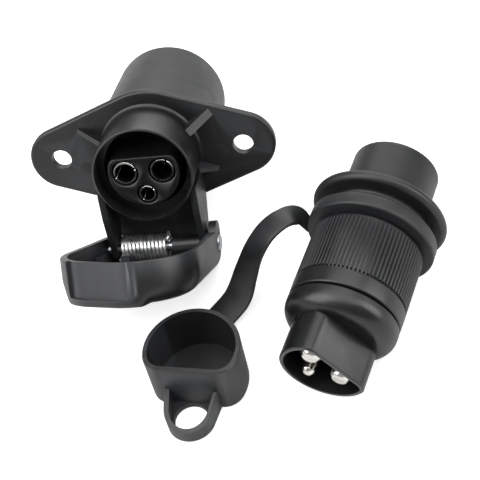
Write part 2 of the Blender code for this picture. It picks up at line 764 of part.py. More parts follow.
def dust_cap(parent, rubber):
    """A keyed cup standing mouth up, with its finger loop at the foot of the flat side."""
    inner = nose_outer + cap_gap
    outer = inner + cap_wall
    outer_flat = nose_outer_flat + cap_gap + cap_wall
    corner = island_corner + nose_gap + nose_wall + cap_gap + cap_wall
    outline = keyed_round(outer, outer_flat, corner)
    edge = 0.0005
    steps = [(1 - edge / outer, 0), (1, edge), (1, cap_height - edge), (1 - edge / outer, cap_height)]
    rings = [[Vector((x * k, -forward, z * k)) for x, z in outline] for k, forward in steps]
    cup = node("dust_cap", loft(rings), parent, rubber)
    reach = outer_flat + loop_reach
    middle = reach - loop_end_radius
    root = outer_flat - 0.0030
    foot = [(0, middle, loop_end_radius), (0.0040, root, 0.0045), (-0.0040, root, 0.0045)]

    def slope(z):
        share = max(0.0, (z - outer_flat) / loop_reach)
        return loop_rim_back + (loop_rim_front - loop_rim_back) * share
    around = hull(foot)
    rim = [[Vector((x, -height, z)) for (x, z), height in zip(around, heights)]
           for heights in ([0.0] * len(around), [slope(z) for x, z in around])]
    loop = node("loop", loft(rim), parent, None)
    cut(loop, node("loop pocket", prism(hull(foot, -loop_rim), loop_thickness, 0.012), parent, None))
    join(cup, loop)
    inside = keyed_round(inner, nose_outer_flat + cap_gap, corner - cap_wall)
    cut(cup, node("cup hollow", prism(inside, 0.0016, cap_height + 0.002), parent, None))
    hole = rod(loop_hole_radius, -0.002, 0.006, 28, (0, middle))
    cut(cup, node("loop hole", hole, parent, None))
    return cup


def smooth(points, steps):
    """A Catmull-Rom curve through points of any length."""
    ends = [points[0] * 2 - points[1], *points, points[-1] * 2 - points[-2]]
    made = []
    for a, b, c, d in zip(ends, ends[1:], ends[2:], ends[3:]):
        for i in range(steps):
            t = i / steps
            made.append(0.5 * (b * 2 + (c - a) * t + (a * 2 - b * 5 + c * 4 - d) * t ** 2
                               + (b * 3 - a - c * 3 + d) * t ** 3))
    return made + [points[-1]]


# The strap's way between cap and ring, in millimetres: centre, crosswise direction, width
strap_points = (((25.4, -40.6, 4.6), (0.86, -0.51, 0), 9.6), ((29.2, -35.4, 11.0), (0.70, -0.71, 0), 9.4),
                ((32.8, -33.2, 18.6), (0.52, -0.85, 0), 9.2), ((37.6, -31.6, 25.2), (0.40, -0.92, 0), 8.8),
                ((42.6, -28.6, 26.9), (0.30, -0.95, 0), 7.8))


def strap_route():
    """(centre, crosswise direction, width) along the strap, relative to the socket's place on the floor."""
    cap_back = nose_outer + cap_gap + cap_wall + piece_gap
    away = Vector((-math.sin(cap_yaw), math.cos(cap_yaw), 0))
    start = cap_offset + away * cap_back + Vector((0, 0, 0.0016))
    tilt, height = plug_rest()
    axis = Vector((math.sin(plug_yaw) * math.cos(tilt), -math.cos(plug_yaw) * math.cos(tilt), -math.sin(tilt)))
    side = Vector((-math.cos(plug_yaw), -math.sin(plug_yaw), 0))
    middle = plug_offset + Vector((0, 0, height)) + axis * (ring_back + ring_width / 2)
    root = middle + side * (ring_radius + piece_gap + strap_thickness / 2)
    cross = Vector((away.y, -away.x, 0))
    route = [(start, cross, strap_width), (start + away * 0.005 + Vector((0, 0, 0.0004)), cross, strap_width)]
    route += [(Vector(point) / 1000, Vector(way), width / 1000) for point, way, width in strap_points]
    route.append((root + side * 0.0028 + Vector((0, 0, 0.0044)), axis, 0.0060))
    route.append((root, axis, 0.0040))
    return route


def cap_strap(parent, rubber):
    route = strap_route()
    centers = smooth([r[0] for r in route], 4)
    ways = smooth([r[1] for r in route], 4)
    widths = smooth([Vector((r[2], 0)) for r in route], 4)
    rings = []
    for i, (center, way, width) in enumerate(zip(centers, ways, widths)):
        along = (centers[min(i + 1, len(centers) - 1)] - centers[max(i - 1, 0)]).normalized()
        way = (way - along * way.dot(along)).normalized()
        normal = along.cross(way)
        half, thick = way * width.x / 2, normal * strap_thickness / 2
        rings.append([center - half - thick, center + half - thick, center + half + thick, center - half + thick])
    return node("cap_strap", loft(rings), parent, rubber, 45.0)


def build_socket(place, plastic, rubber, brass, steel):
    tilt, height = socket_tilt()
    socket = frame("socket_frame", None, place + Vector((0, 0, height)), (-tilt, 0, 0))
    socket_housing(socket, plastic)
    contact_carrier(socket, plastic)
    carrier_nut(socket, plastic)
    for (center, pin_size, name), turn in zip(poles(), (20, 62, 40)):
        contact(center, pin_size, name, turn, socket, brass)
        terminal_screw(center, pin_size, name, socket, steel)
    rear_cover(socket, rubber)
    hinge_pin(socket, steel)
    hinge = frame("lid_axis", socket, (0, -hinge_forward, -hinge_drop))
    lid_spring(hinge, steel)
    turning = frame("lid_frame", hinge, rotation=(open_angle, 0, 0))
    lid(turning, plastic)
    lid_seal(turning, rubber)


def build_plug(place, plastic, rubber, brass, steel):
    tilt, height = plug_rest()
    plug = frame("plug_yaw", None, place + plug_offset + Vector((0, 0, height)), (0, 0, plug_yaw))
    lean = frame("plug_frame", plug, rotation=(tilt, 0, 0))
    roll = frame("plug_roll", lean, rotation=(0, plug_roll, 0))
    front_body(roll, plastic)
    pin_carrier(roll, plastic)
    for center, radius, name in poles():
        pin(center, radius, name, roll, brass)
        pin_screw(center, radius, name, roll, steel)
    seal_ring(roll, rubber)
    rear_body(roll, rubber)
    cable_grommet(roll, rubber)
    knurled_sleeve(roll, plastic)
    strap_ring(lean, rubber)


def build_cap(place, rubber):
    cap = frame("cap_frame", None, place + cap_offset, (-math.pi / 2, 0, math.pi + cap_yaw))
    dust_cap(cap, rubber)
    cap_strap(frame("strap_frame", None, place), rubber)


def main():
    for old in list(bpy.data.objects):
        bpy.data.objects.remove(old, do_unlink=True)
    plastic = material("black_nylon", (0.030, 0.031, 0.033), 0.45)
    rubber = material("black_soft_pvc", (0.040, 0.041, 0.043), 0.60)
    brass = material("nickel_plated_brass", (0.80, 0.78, 0.72), 0.22, 1.0)
    steel = material("zinc_plated_steel", (0.70, 0.71, 0.72), 0.30, 1.0)
    place = Vector((socket_x, socket_y, 0))
    build_socket(place, plastic, rubber, brass, steel)
    build_plug(place, plastic, rubber, brass, steel)
    build_cap(place, rubber)


main()
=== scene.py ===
import json
import math
import bmesh
import bpy
from mathutils import Matrix, Vector


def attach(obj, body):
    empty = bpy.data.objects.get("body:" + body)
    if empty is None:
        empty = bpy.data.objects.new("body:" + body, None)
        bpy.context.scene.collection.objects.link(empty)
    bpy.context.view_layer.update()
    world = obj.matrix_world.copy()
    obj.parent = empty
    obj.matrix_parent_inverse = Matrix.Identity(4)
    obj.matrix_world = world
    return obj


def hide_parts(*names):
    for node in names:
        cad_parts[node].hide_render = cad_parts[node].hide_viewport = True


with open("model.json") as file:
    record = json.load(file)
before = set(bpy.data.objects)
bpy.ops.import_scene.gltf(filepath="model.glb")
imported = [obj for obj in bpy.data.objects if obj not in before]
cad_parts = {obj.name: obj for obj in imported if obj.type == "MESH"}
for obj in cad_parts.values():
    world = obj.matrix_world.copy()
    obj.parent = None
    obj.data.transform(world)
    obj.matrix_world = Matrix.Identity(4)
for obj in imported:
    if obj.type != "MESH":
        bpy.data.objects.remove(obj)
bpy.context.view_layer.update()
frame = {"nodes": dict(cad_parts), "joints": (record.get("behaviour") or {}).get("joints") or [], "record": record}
joints = {joint["name"]: joint for joint in frame["joints"]}
mounts = {mount["name"]: mount for mount in frame["record"]["mounts"]}
print("frame loaded:", len(frame["nodes"]), "nodes")


# Meshes. A piece is drawn as (across, forward, up) and then set in its own place, forward being -Y.

def point(across, forward, up):
    return Vector((across, -forward, up))


def placeOf(origin, across, back):
    matrix = Matrix((across, back, across.cross(back))).transposed().to_4x4()
    matrix.translation = origin
    return matrix


def skin(rings, closed=False):
    shape = bmesh.new()
    made = [[shape.verts.new(p) for p in ring] for ring in rings]
    pairs = list(zip(made, made[1:])) + ([(made[-1], made[0])] if closed else [])
    for low, high in pairs:
        count = max(len(low), len(high))
        for i in range(count):
            j = (i + 1) % count
            if len(low) == 1:
                shape.faces.new((low[0], high[j], high[i]))
            elif len(high) == 1:
                shape.faces.new((low[i], low[j], high[0]))
            else:
                shape.faces.new((low[i], low[j], high[j], high[i]))
    if not closed:
        for ring in (made[0], made[-1]):
            if len(ring) > 2:
                shape.faces.new(ring)
    return shape


def turned(profile, segments=96, center=(0.0, 0.0)):
    # a closed outline of (radius, forward) points, turned about the forward axis
    rings = []
    for radius, forward in profile:
        angles = [math.tau * i / segments for i in range(segments if radius > 1e-7 else 1)]
        rings.append([point(center[0] + radius * math.cos(a), forward, center[1] + radius * math.sin(a))
                      for a in angles])
    return skin(rings, closed=profile[0][0] > 1e-7)


def rod(radius, start, end, segments=48, center=(0.0, 0.0)):
    return turned([(0, end), (radius, end), (radius, start), (0, start)], segments, center)


def prism(outline, start, end):
    return skin([[point(x, along, z) for x, z in outline] for along in (start, end)])


def sidePrism(outline, start, end):
    # an outline of (forward, up) points, pushed across
    return skin([[point(along, f, z) for f, z in outline] for along in (start, end)])


def arc(center, radius, start, end, steps):
    angles = [math.radians(start + (end - start) * i / steps) for i in range(steps + 1)]
    return [(center[0] + radius * math.cos(a), center[1] + radius * math.sin(a)) for a in angles]


def hull(circles, grow=0.0, first=0.0, last=360.0, step=3.0):
    # the outline round circles of (across, up, radius), or its stretch that faces first to last degrees
    count = round((last - first) / step)
    outline = []
    for i in range(count if last - first >= 360 else count + 1):
        angle = math.radians(first + (last - first) * i / count)
        way = Vector((math.cos(angle), math.sin(angle)))
        x, z, radius = max(circles, key=lambda c: way.dot(c[:2]) + c[2])
        reach = radius + (grow(math.degrees(angle)) if callable(grow) else grow)
        outline.append((x + way.x * reach, z + way.y * reach))
    return outline


def keyedRound(radius, flat, corner, steps=72):
    # a circle with a flat across its top, and round corners where they meet
    up = flat - corner
    across = math.sqrt((radius - corner) ** 2 - up ** 2)
    turn = math.degrees(math.atan2(up, across))
    right = arc((across, up), corner, 90, turn, 10)
    left = arc((-across, up), corner, 180 - turn, 90, 10)
    return right + arc((0, 0), radius, turn, -180 - turn, steps)[1:-1] + left


def roundedSlab(circles, start, end, edge, steps=4):
    # a slab whose edges are rounded on both faces
    offsets = [(edge * (math.sin(a) - 1), edge * (1 - math.cos(a)))
               for a in (math.pi / 2 * i / steps for i in range(steps + 1))]
    rings = [(grow, start + deep) for grow, deep in offsets]
    rings += [(grow, end - deep) for grow, deep in reversed(offsets)]
    return skin([[point(x, f, z) for x, z in hull(circles, grow)] for grow, f in rings])


def sideways(shape, offset=(0, 0, 0)):
    # turns a piece drawn forward so that it runs across
    shape.transform(Matrix.Translation(offset) @ Matrix.Rotation(math.pi / 2, 4, "Z"))
    return shape


def newPiece(name, shape, sharpAngle=38.0):
    bmesh.ops.remove_doubles(shape, verts=shape.verts, dist=1e-7)
    bmesh.ops.recalc_face_normals(shape, faces=shape.faces)
    if shape.calc_volume(signed=True) < 0:
        bmesh.ops.reverse_faces(shape, faces=shape.faces)
    mesh = bpy.data.meshes.new(name)
    shape.to_mesh(mesh)
    shape.free()
    mesh.shade_smooth()
    mesh.set_sharp_from_angle(angle=math.radians(sharpAngle))
    piece = bpy.data.objects.new(name, mesh)
    bpy.context.scene.collection.objects.link(piece)
    return piece


def settle(piece):
    # turns what the modifiers give into the piece's plain mesh
    bpy.context.view_layer.update()
    evaluated = piece.evaluated_get(bpy.context.evaluated_depsgraph_get())
    mesh = bpy.data.meshes.new_from_object(evaluated)
    piece.modifiers.clear()
    piece.data = mesh
    mesh.name = piece.name


def combine(piece, operation, *shapes):
    others = []
    for shape in shapes:
        other = newPiece("tool", shape)
        modifier = piece.modifiers.new(operation, "BOOLEAN")
        modifier.operation = operation
        modifier.solver = "EXACT"
        modifier.object = other
        others.append(other)
    settle(piece)
    for other in others:
        bpy.data.objects.remove(other)


def soften(piece, width, segments=2, angle=38.0):
    piece.data.set_sharp_from_angle(angle=math.radians(angle))
    modifier = piece.modifiers.new("soften", "BEVEL")
    modifier.width = width
    modifier.segments = segments
    modifier.limit_method = "ANGLE"
    modifier.angle_limit = math.radians(angle)
    modifier.use_clamp_overlap = True
    modifier.miter_outer = "MITER_ARC"
    modifier.harden_normals = True
    settle(piece)


def flattenFaces(piece):
    # wide faces that look straight forward or back are shaded flat, so that no gradient runs over them
    if "custom_normal" in piece.data.attributes:
        piece.data.attributes.remove(piece.data.attributes["custom_normal"])
    for face in piece.data.polygons:
        if abs(face.normal.y) > 0.9995:
            face.use_smooth = False


def place(piece, matrix, material, body, slot, *nodes):
    piece.data.transform(matrix)
    piece.data.materials.clear()
    piece.data.materials.append(material)
    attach(piece, body)
    if nodes:
        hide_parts(*nodes)
    return piece


# Materials

def hexColor(text):
    channels = [int(text[i:i + 2], 16) / 255 for i in (1, 3, 5)]
    return [c / 12.92 if c <= 0.04045 else ((c + 0.055) / 1.055) ** 2.4 for c in channels] + [1.0]


def addNode(tree, kind, settings=None, links=None):
    node = tree.nodes.new(kind)
    for key, value in (settings or {}).items():
        if isinstance(key, int) or key in node.inputs:
            node.inputs[key].default_value = value
        else:
            setattr(node, key, value)
    for key, source in (links or {}).items():
        tree.links.new(source, node.inputs[key])
    return node


def newMaterial(name, **values):
    material = bpy.data.materials.new(name)
    material.use_nodes = True
    tree = material.node_tree
    shader = tree.nodes["Principled BSDF"]
    for key, value in values.items():
        shader.inputs[key].default_value = value
    return material, tree, shader


def colorRamp(tree, factor, stops):
    ramp = addNode(tree, "ShaderNodeValToRGB", links={"Fac": factor})
    elements = ramp.color_ramp.elements
    for element, (position, color) in zip(elements, stops):
        element.position = position
        element.color = hexColor(color)
    return ramp.outputs["Color"]


def mapRange(tree, source, low, high, fromLow=0.3, fromHigh=0.7):
    return addNode(tree, "ShaderNodeMapRange", {"From Min": fromLow, "From Max": fromHigh, "To Min": low,
                                                "To Max": high}, {"Value": source}).outputs["Result"]


edgeWearAndHighlightGrey = "#3c3e41"   # lighter convex edges: partly rubbed wear, partly a painted edge highlight
cloudScale = 350.0       # plating clouds about 3 mm across


def mouldedBlack(name, dark, light, roughness, grain, grainDepth, patch):
    # carbon-black moulding: patchy gloss where the tool was more or less worn, and an even eroded grain
    material, tree, shader = newMaterial(name, **{"IOR": 1.52})
    spot = addNode(tree, "ShaderNodeTexCoord").outputs["Object"]
    broad = addNode(tree, "ShaderNodeTexNoise", {"Scale": 1 / patch, "Detail": 3.0, "Roughness": 0.6},
                    {"Vector": spot}).outputs["Fac"]
    fine = addNode(tree, "ShaderNodeTexNoise", {"Scale": 1 / grain, "Detail": 2.0, "Roughness": 0.55},
                   {"Vector": spot}).outputs["Fac"]
    scuff = addNode(tree, "ShaderNodeTexNoise", {"Scale": 0.35 / patch, "Detail": 6.0, "Roughness": 0.72},
                    {"Vector": spot}).outputs["Fac"]
    # convex edges are mixed towards a lighter grey: partly rubbed wear, partly a painted edge highlight
    edge = addNode(tree, "ShaderNodeNewGeometry").outputs["Pointiness"]
    color = colorRamp(tree, broad, [(0.3, dark), (0.7, light)])
    edgeWearAndHighlight = mapRange(tree, edge, 0.0, 0.35, 0.51, 0.60)
    mixed = addNode(tree, "ShaderNodeMix", {"data_type": "RGBA", 7: hexColor(edgeWearAndHighlightGrey)},
                    {0: edgeWearAndHighlight, 6: color})
    tree.links.new(mixed.outputs[2], shader.inputs["Base Color"])
    gloss = mapRange(tree, broad, roughness - 0.05, roughness + 0.06)
    rough = addNode(tree, "ShaderNodeMath", {"operation": "ADD"},
                    {0: gloss, 1: mapRange(tree, scuff, 0.0, 0.10, 0.52, 0.72)})
    tree.links.new(rough.outputs["Value"], shader.inputs["Roughness"])
    bump = addNode(tree, "ShaderNodeBump", {"Strength": 0.5, "Distance": grainDepth}, {"Height": fine})
    tree.links.new(bump.outputs["Normal"], shader.inputs["Normal"])
    return material


def platedMetal(name, dark, light, roughness, grain, grainDepth, stretch):
    # bright plating over turned or drawn metal: fine marks that run round the work, slightly clouded
    material, tree, shader = newMaterial(name, **{"Metallic": 1.0})
    spot = addNode(tree, "ShaderNodeTexCoord").outputs["Object"]
    drawn = addNode(tree, "ShaderNodeMapping", {"Scale": stretch}, {"Vector": spot}).outputs["Vector"]
    marks = addNode(tree, "ShaderNodeTexNoise", {"Scale": 1 / grain, "Detail": 2.0},
                    {"Vector": drawn}).outputs["Fac"]
    cloud = addNode(tree, "ShaderNodeTexNoise", {"Scale": cloudScale, "Detail": 3.0},
                    {"Vector": spot}).outputs["Fac"]
    tree.links.new(colorRamp(tree, cloud, [(0.35, dark), (0.65, light)]), shader.inputs["Base Color"])
    tree.links.new(mapRange(tree, cloud, roughness, roughness + 0.12), shader.inputs["Roughness"])
    bump = addNode(tree, "ShaderNodeBump", {"Strength": 0.35, "Distance": grainDepth}, {"Height": marks})
    tree.links.new(bump.outputs["Normal"], shader.inputs["Normal"])
    return material


# glass-filled nylon 6, injection moulded in a lightly eroded tool: near black, satin, with soft broad glints
glassFilledNylon = mouldedBlack("mouldedGlassFilledNylon", "#0c0c0d", "#131415",
                                0.38, 0.00045, 0.00003, 0.012)
# the plug's shell is the same nylon from a polished tool, so it glints harder along its edges
polishedNylon = mouldedBlack("polishedMouldNylon", "#0a0a0b", "#101112", 0.30, 0.0006, 0.00001, 0.015)
# soft PVC, moulded: matte and a little greyer, with a wide soft sheen
softPvc = mouldedBlack("mouldedSoftPvc", "#0f1011", "#17181a", 0.46, 0.0006, 0.00003, 0.010)
# nickel on turned brass: warm white metal with turning marks
nickelPlatedBrass = platedMetal("nickelPlatedBrass", "#c9c7c2", "#e6e4df",
                                0.16, 0.0002, 0.000004, (1.0, 1.0, 1.0))
# the contacts' bores are nickel plated too; this dark finish is painted shade inside them
paintedShadeBore = platedMetal("nickelBoreWithPaintedShade", "#12110f", "#1f1d1a",
                       0.45, 0.0002, 0.000004, (1.0, 1.0, 1.0))
# drawn spring wire, bright: cooler, with die marks along the wire
springSteel = platedMetal("drawnSpringSteel", "#cfd1d3", "#f2f2f2",
                          0.30, 0.00015, 0.000001, (0.2, 1.0, 1.0))
# bright zinc on steel: bluish and softly mottled
zincPlatedSteel = platedMetal("brightZincOnSteel", "#9fa3a8", "#cfd2d6",
                              0.25, 0.0003, 0.000005, (1.0, 1.0, 1.0))
print("materials made")

# Places of the socket, lid, plug and cap, from the frame's joints and mounts

hingeBack = 0.0110   # the lid's axis is this far in front of the flange's face
hingeDrop = 0.0289   # and this far below the barrel's axis
across = Vector((1, 0, 0))
back = Vector(mounts["flange_back"]["axis"])
hinge = Vector(joints["lid_hinge"]["pos_m"])
socketPlace = placeOf(hinge + back * hingeBack + across.cross(back) * hingeDrop, across, back)
openAngle = math.radians(-joints["lid_hinge"]["range_deg"][0])
lidPlace = placeOf(hinge, across, back) @ Matrix.Rotation(openAngle, 4, "X")
plugForward = Vector(joints["sleeve_turn"]["axis"])
plugAcross = Vector((0, 0, 1)).cross(plugForward).normalized()
plugPlace = placeOf(Vector(joints["sleeve_turn"]["pos_m"]), plugAcross, -plugForward)
plugRoll = math.radians(50.0)   # how far the nose's flat is turned from the top
nosePlace = plugPlace @ Matrix.Rotation(plugRoll, 4, "Y")
capYaw = math.radians(-8.0)
capCenter = Vector(mounts["cap_base"]["pos_m"])
capTurn = Matrix.Rotation(math.pi + capYaw, 4, "Z") @ Matrix.Rotation(-math.pi / 2, 4, "X")
capPlace = Matrix.Translation(capCenter) @ capTurn

# Contacts and pins, one list for both halves: centre, pin radius, name

contacts = {"largeAcross": 0.0059, "largeUp": 0.0003, "smallUp": -0.0074, "largePin": 0.0030,
            "smallPin": 0.0020, "slip": 0.00005, "wall": 0.0007, "wireShare": 0.62}
poles = [((-contacts["largeAcross"], contacts["largeUp"]), contacts["largePin"], "large_left"),
         ((contacts["largeAcross"], contacts["largeUp"]), contacts["largePin"], "large_right"),
         ((0.0, contacts["smallUp"]), contacts["smallPin"], "small")]

# Socket housing: flange, barrel, hinge bracket and ribs in one moulding

socket = {"holeSpacing": 0.0600, "holeRadius": 0.0033, "thickness": 0.0030, "middleRadius": 0.0208,
          "endRadius": 0.0104, "flangeEdge": 0.0008, "barrelRadius": 0.01585, "barrelLength": 0.0172,
          "bore": 0.0132, "mouthBore": 0.01515, "mouthStep": 0.0065, "rootFillet": 0.0017,
          "spigotRadius": 0.01615, "spigotLength": 0.0090, "cheek": 0.0021, "cheekEnd": 0.0035,
          "webFoot": 0.0021, "webHalf": 0.0146, "soften": 0.00022, "markRadius": 0.0024,
          "markHeight": 0.00003, "mouthEdge": 0.0005, "bossRadius": 0.0031, "bossSpan": (0.0042, 0.0150)}
pinHole = 0.00165   # radius of the hinge pin's hole, in socket and lid
gussets = ((30, 0.0098, 0.0064, 0.0026), (-20, 0.0078, 0.0050, 0.0018),
           (157, 0.0100, 0.0048, 0.0016), (200, 0.0060, 0.0030, 0.0016))   # degrees, reach, height, width


def buildSocketHousing():
    s = socket
    mouth, radius, fillet = s["barrelLength"], s["barrelRadius"], s["rootFillet"]
    ends = [(0, 0, s["middleRadius"]), (s["holeSpacing"] / 2, 0, s["endRadius"]),
            (-s["holeSpacing"] / 2, 0, s["endRadius"])]
    housing = newPiece("socketHousing", roundedSlab(ends, -s["thickness"], 0, s["flangeEdge"]))
    rear = -s["thickness"] - s["spigotLength"]
    rim = s["mouthEdge"]
    profile = [(0, mouth)] + arc((radius - rim, mouth - rim), rim, 90, 0, 4)
    profile += arc((radius + fillet, fillet - 0.0002), fillet, 180, 262, 8)
    profile += [(radius + fillet, -0.0012), (s["spigotRadius"], -0.0014), (s["spigotRadius"], rear),
                (0, rear)]
    parts = [turned(profile)]
    for side in (-1, 1):
        outline = arc((hingeBack, -hingeDrop), s["cheekEnd"], 180, 352, 24)
        outline += [(mouth - rim, -0.0150), (mouth - rim, -0.006), (-0.0006, -0.006), (-0.0006, -0.0120)]
        outer = side * (radius - 0.0001)
        inner = outer - side * s["cheek"]
        parts.append(sidePrism(outline, min(outer, inner), max(outer, inner)))
    foot, half = -hingeDrop - s["webFoot"], s["webHalf"]
    parts.append(prism([(-half, -0.0120), (-half, foot), (half, foot), (half, -0.0120)], 0.0008, 0.0030))
    boss = rod(s["bossRadius"], *s["bossSpan"])
    parts.append(sideways(boss, (0, -hingeBack, -hingeDrop)))
    for angle, reach, height, width in gussets:
        parts.append(gusset(angle, reach, height, width))
    combine(housing, "UNION", *parts)
    step, bore, seat = mouth - s["mouthStep"], s["bore"], s["bore"] + 0.0012
    boreProfile = [(0, mouth + 0.002), (s["mouthBore"], mouth + 0.002), (s["mouthBore"], step),
                   (bore, step), (bore, 0.0010), (seat, 0.0010), (seat, rear - 0.002), (0, rear - 0.002)]
    holes = [turned(boreProfile)]
    holes += [rod(s["holeRadius"], -0.006, 0.003, 64, (side * s["holeSpacing"] / 2, 0)) for side in (-1, 1)]
    holes.append(sideways(rod(pinHole, -0.030, 0.030, 32), (0, -hingeBack, -hingeDrop)))
    combine(housing, "DIFFERENCE", *holes)
    soften(housing, s["soften"])
    flattenFaces(housing)
    return place(housing, socketPlace, glassFilledNylon, "socket", "moulded_nylon", "socket_housing")


def buildEjectorMarks():
    # faint round witness marks of the mould's ejector pins
    radius, height = socket["markRadius"], socket["markHeight"]
    whole = bmesh.new()
    for spot in ((-0.0195, 0.0118), (0.0225, -0.0020), (-0.0225, -0.0040)):
        mark = turned([(0, height), (radius - 0.00025, height), (radius, 0.0), (radius, -0.0002),
                       (0, -0.0002)], 48, spot)
        mesh = bpy.data.meshes.new("mark")
        mark.to_mesh(mesh)
        whole.from_mesh(mesh)
        mark.free()
        bpy.data.meshes.remove(mesh)
    marks = newPiece("ejectorMarks", whole, 60.0)
    return place(marks, socketPlace, glassFilledNylon, "socket", "moulded_nylon")


def gusset(angle, reach, height, width):
    # a thin rib in the corner between barrel and flange
    start = socket["barrelRadius"] - 0.0012
    corners = [(start, -0.001), (start + reach, -0.001), (start + reach, 0.0003),
               (socket["barrelRadius"] + 0.0006, height), (start, height)]
    spin = Matrix.Rotation(-math.radians(angle), 3, "Y")
    return skin([[spin @ point(r, h, side * width / 2) for r, h in corners] for side in (-1, 1)])


def buildContactCarrier():
    carrier = {"radius": 0.0114, "flat": 0.0054, "corner": 0.0028, "face": 0.0153, "edge": 0.0006,
               "gap": 0.0006, "flange": 0.0141, "tail": 0.0118}
    outline = keyedRound(carrier["radius"], carrier["flat"], carrier["corner"])
    steps = [(1.0, 0.0005)]
    for x, f in arc((0, carrier["face"] - carrier["edge"]), carrier["edge"], 0, 90, 5):
        steps.append((1 - (carrier["edge"] - x) / carrier["radius"], f))
    rings = [[point(x * k, f, z * k) for x, z in outline] for k, f in steps]
    piece = newPiece("contactCarrier", skin(rings))
    wide, narrow = carrier["flange"], carrier["tail"]
    flange = [(0, 0.0007), (wide, 0.0007), (wide, -0.0032), (narrow, -0.0032), (narrow, -0.0130),
              (0, -0.0130)]
    combine(piece, "UNION", turned(flange, 72))
    holes = []
    for center, pin, name in poles:
        outer = pin + contacts["slip"] + contacts["wall"]
        hole, mouth, rear = outer + carrier["gap"], carrier["face"], outer + 0.0011
        holes.append(turned([(0, mouth + 0.001), (hole + 0.0011, mouth + 0.001), (hole, mouth - 0.0002),
                             (hole, -0.0095), (rear, -0.0095), (rear, -0.0140), (0, -0.0140)], 48, center))
    combine(piece, "DIFFERENCE", *holes)
    return place(piece, socketPlace, glassFilledNylon, "socket", "moulded_nylon", "contact_carrier")


def buildContact(center, pin, name, turn):
    front, collar = 0.0149, 0.0008
    bore = pin + contacts["slip"]
    outer = bore + contacts["wall"]
    wire = pin * contacts["wireShare"]
    lead, halfSlot = 0.00012, 0.0003   # the bore's lead-in; half the spring slot's width
    profile = [(bore + lead, front), (outer - 0.00015, front), (outer, front - 0.00015), (outer, -0.0098),
               (outer + collar, -0.0098), (outer + collar, -0.0225), (wire, -0.0225), (wire, -0.0150),
               (0.0006, -0.0150), (0.0006, -0.0030), (bore, -0.0030), (bore, front - 0.0002)]
    piece = newPiece("contact_" + name, turned(profile, 64, center))
    spin = Matrix.Rotation(math.radians(turn), 2)
    corners = ((-0.006, -halfSlot), (0.006, -halfSlot), (0.006, halfSlot), (-0.006, halfSlot))
    slot = [Vector(center) + spin @ Vector(corner) for corner in corners]
    combine(piece, "DIFFERENCE", prism([tuple(p) for p in slot], 0.0040, 0.020))
    # faces inside the bore get the painted shade
    middle = Vector(center)
    inner = [face for face in piece.data.polygons
             if (Vector((face.center.x, face.center.z)) - middle).length < bore + 0.00008]
    place(piece, socketPlace, nickelPlatedBrass, "socket", "nickel_plated_brass", "contact_" + name)
    piece.data.materials.append(paintedShadeBore)
    for face in inner:
        face.material_index = 1
    return piece


def buildRearCover():
    cover = {"inner": 0.01645, "outer": 0.01925, "length": 0.0474, "edge": 0.0037,
             "hole": 0.0045, "lip": 0.0016}
    front, rear = -socket["thickness"] - 0.0003, -cover["length"]
    edge, outer = cover["edge"], cover["outer"]
    profile = [(outer - 0.0003, front), (outer, front - 0.0003)]
    profile += [(r, -f) for f, r in arc((cover["length"] - edge, outer - edge), edge, 90, 0, 12)]
    lip = cover["hole"] + cover["lip"]
    profile += [(lip + 0.0006, rear), (cover["hole"] + 0.0004, rear), (cover["hole"], rear + 0.0004)]
    profile += [(cover["hole"], rear + 0.0050), (lip, rear + 0.0050), (lip, rear + 0.0020)]
    profile += [(r, -f) for f, r in arc((cover["length"] - edge, cover["inner"] - 0.0015), 0.0015, 0, 90, 6)]
    profile += [(cover["inner"], front)]
    piece = newPiece("rearCover", turned(profile, 128))
    return place(piece, socketPlace, softPvc, "socket", "soft_pvc", "rear_cover")


def buildHingePin():
    outer = lid["earOuter"]
    head, radius, height = 0.0027, 0.0015, 0.0011
    start = outer - 0.0006
    profile = [(0, start + height)] + arc((head - 0.0007, start + height - 0.0007), 0.0007, 90, 0, 5)
    profile += [(head, start), (radius, start), (radius, -outer - 0.0001), (radius - 0.0003, -outer - 0.0004),
                (0, -outer - 0.0004)]
    piece = newPiece("hingePin", sideways(turned(profile, 48), (0, -hingeBack, -hingeDrop)))
    return place(piece, socketPlace, zincPlatedSteel, "socket", "zinc_plated_steel", "hinge_pin")


# Geometry Nodes

def newTree(name, sizes):
    tree = bpy.data.node_groups.new(name, "GeometryNodeTree")
    tree.interface.new_socket("Geometry", in_out="INPUT", socket_type="NodeSocketGeometry")
    for label, kind in sizes:
        tree.interface.new_socket(label, in_out="INPUT", socket_type="NodeSocket" + kind)
    tree.interface.new_socket("Geometry", in_out="OUTPUT", socket_type="NodeSocketGeometry")
    return tree, tree.nodes.new("NodeGroupInput").outputs


def endTree(tree, geometry, material):
    whole = addNode(tree, "GeometryNodeRealizeInstances", links={"Geometry": geometry})
    painted = addNode(tree, "GeometryNodeSetMaterial", {"Material": material}, {"Geometry": whole.outputs[0]})
    addNode(tree, "NodeGroupOutput", links={0: painted.outputs[0]})


def runTree(piece, tree, values):
    modifier = piece.modifiers.new(tree.name, "NODES")
    modifier.node_group = tree
    for item in tree.interface.items_tree:
        if item.in_out == "INPUT" and item.name in values:
            modifier[item.identifier] = values[item.name]
    settle(piece)


def wireTree():
    # a round wire along the object's own path
    tree, given = newTree("wireAlongPath", [("Wire Radius", "Float"), ("Sides", "Int")])
    path = addNode(tree, "GeometryNodeMeshToCurve", links={"Mesh": given["Geometry"]})
    ring = addNode(tree, "GeometryNodeCurvePrimitiveCircle", links={"Radius": given["Wire Radius"],
                                                                    "Resolution": given["Sides"]})
    wire = addNode(tree, "GeometryNodeCurveToMesh", {"Fill Caps": True},
                   {"Curve": path.outputs[0], "Profile Curve": ring.outputs[0]})
    smooth = addNode(tree, "GeometryNodeSetShadeSmooth", links={"Geometry": wire.outputs[0]})
    endTree(tree, smooth.outputs[0], springSteel)
    return tree


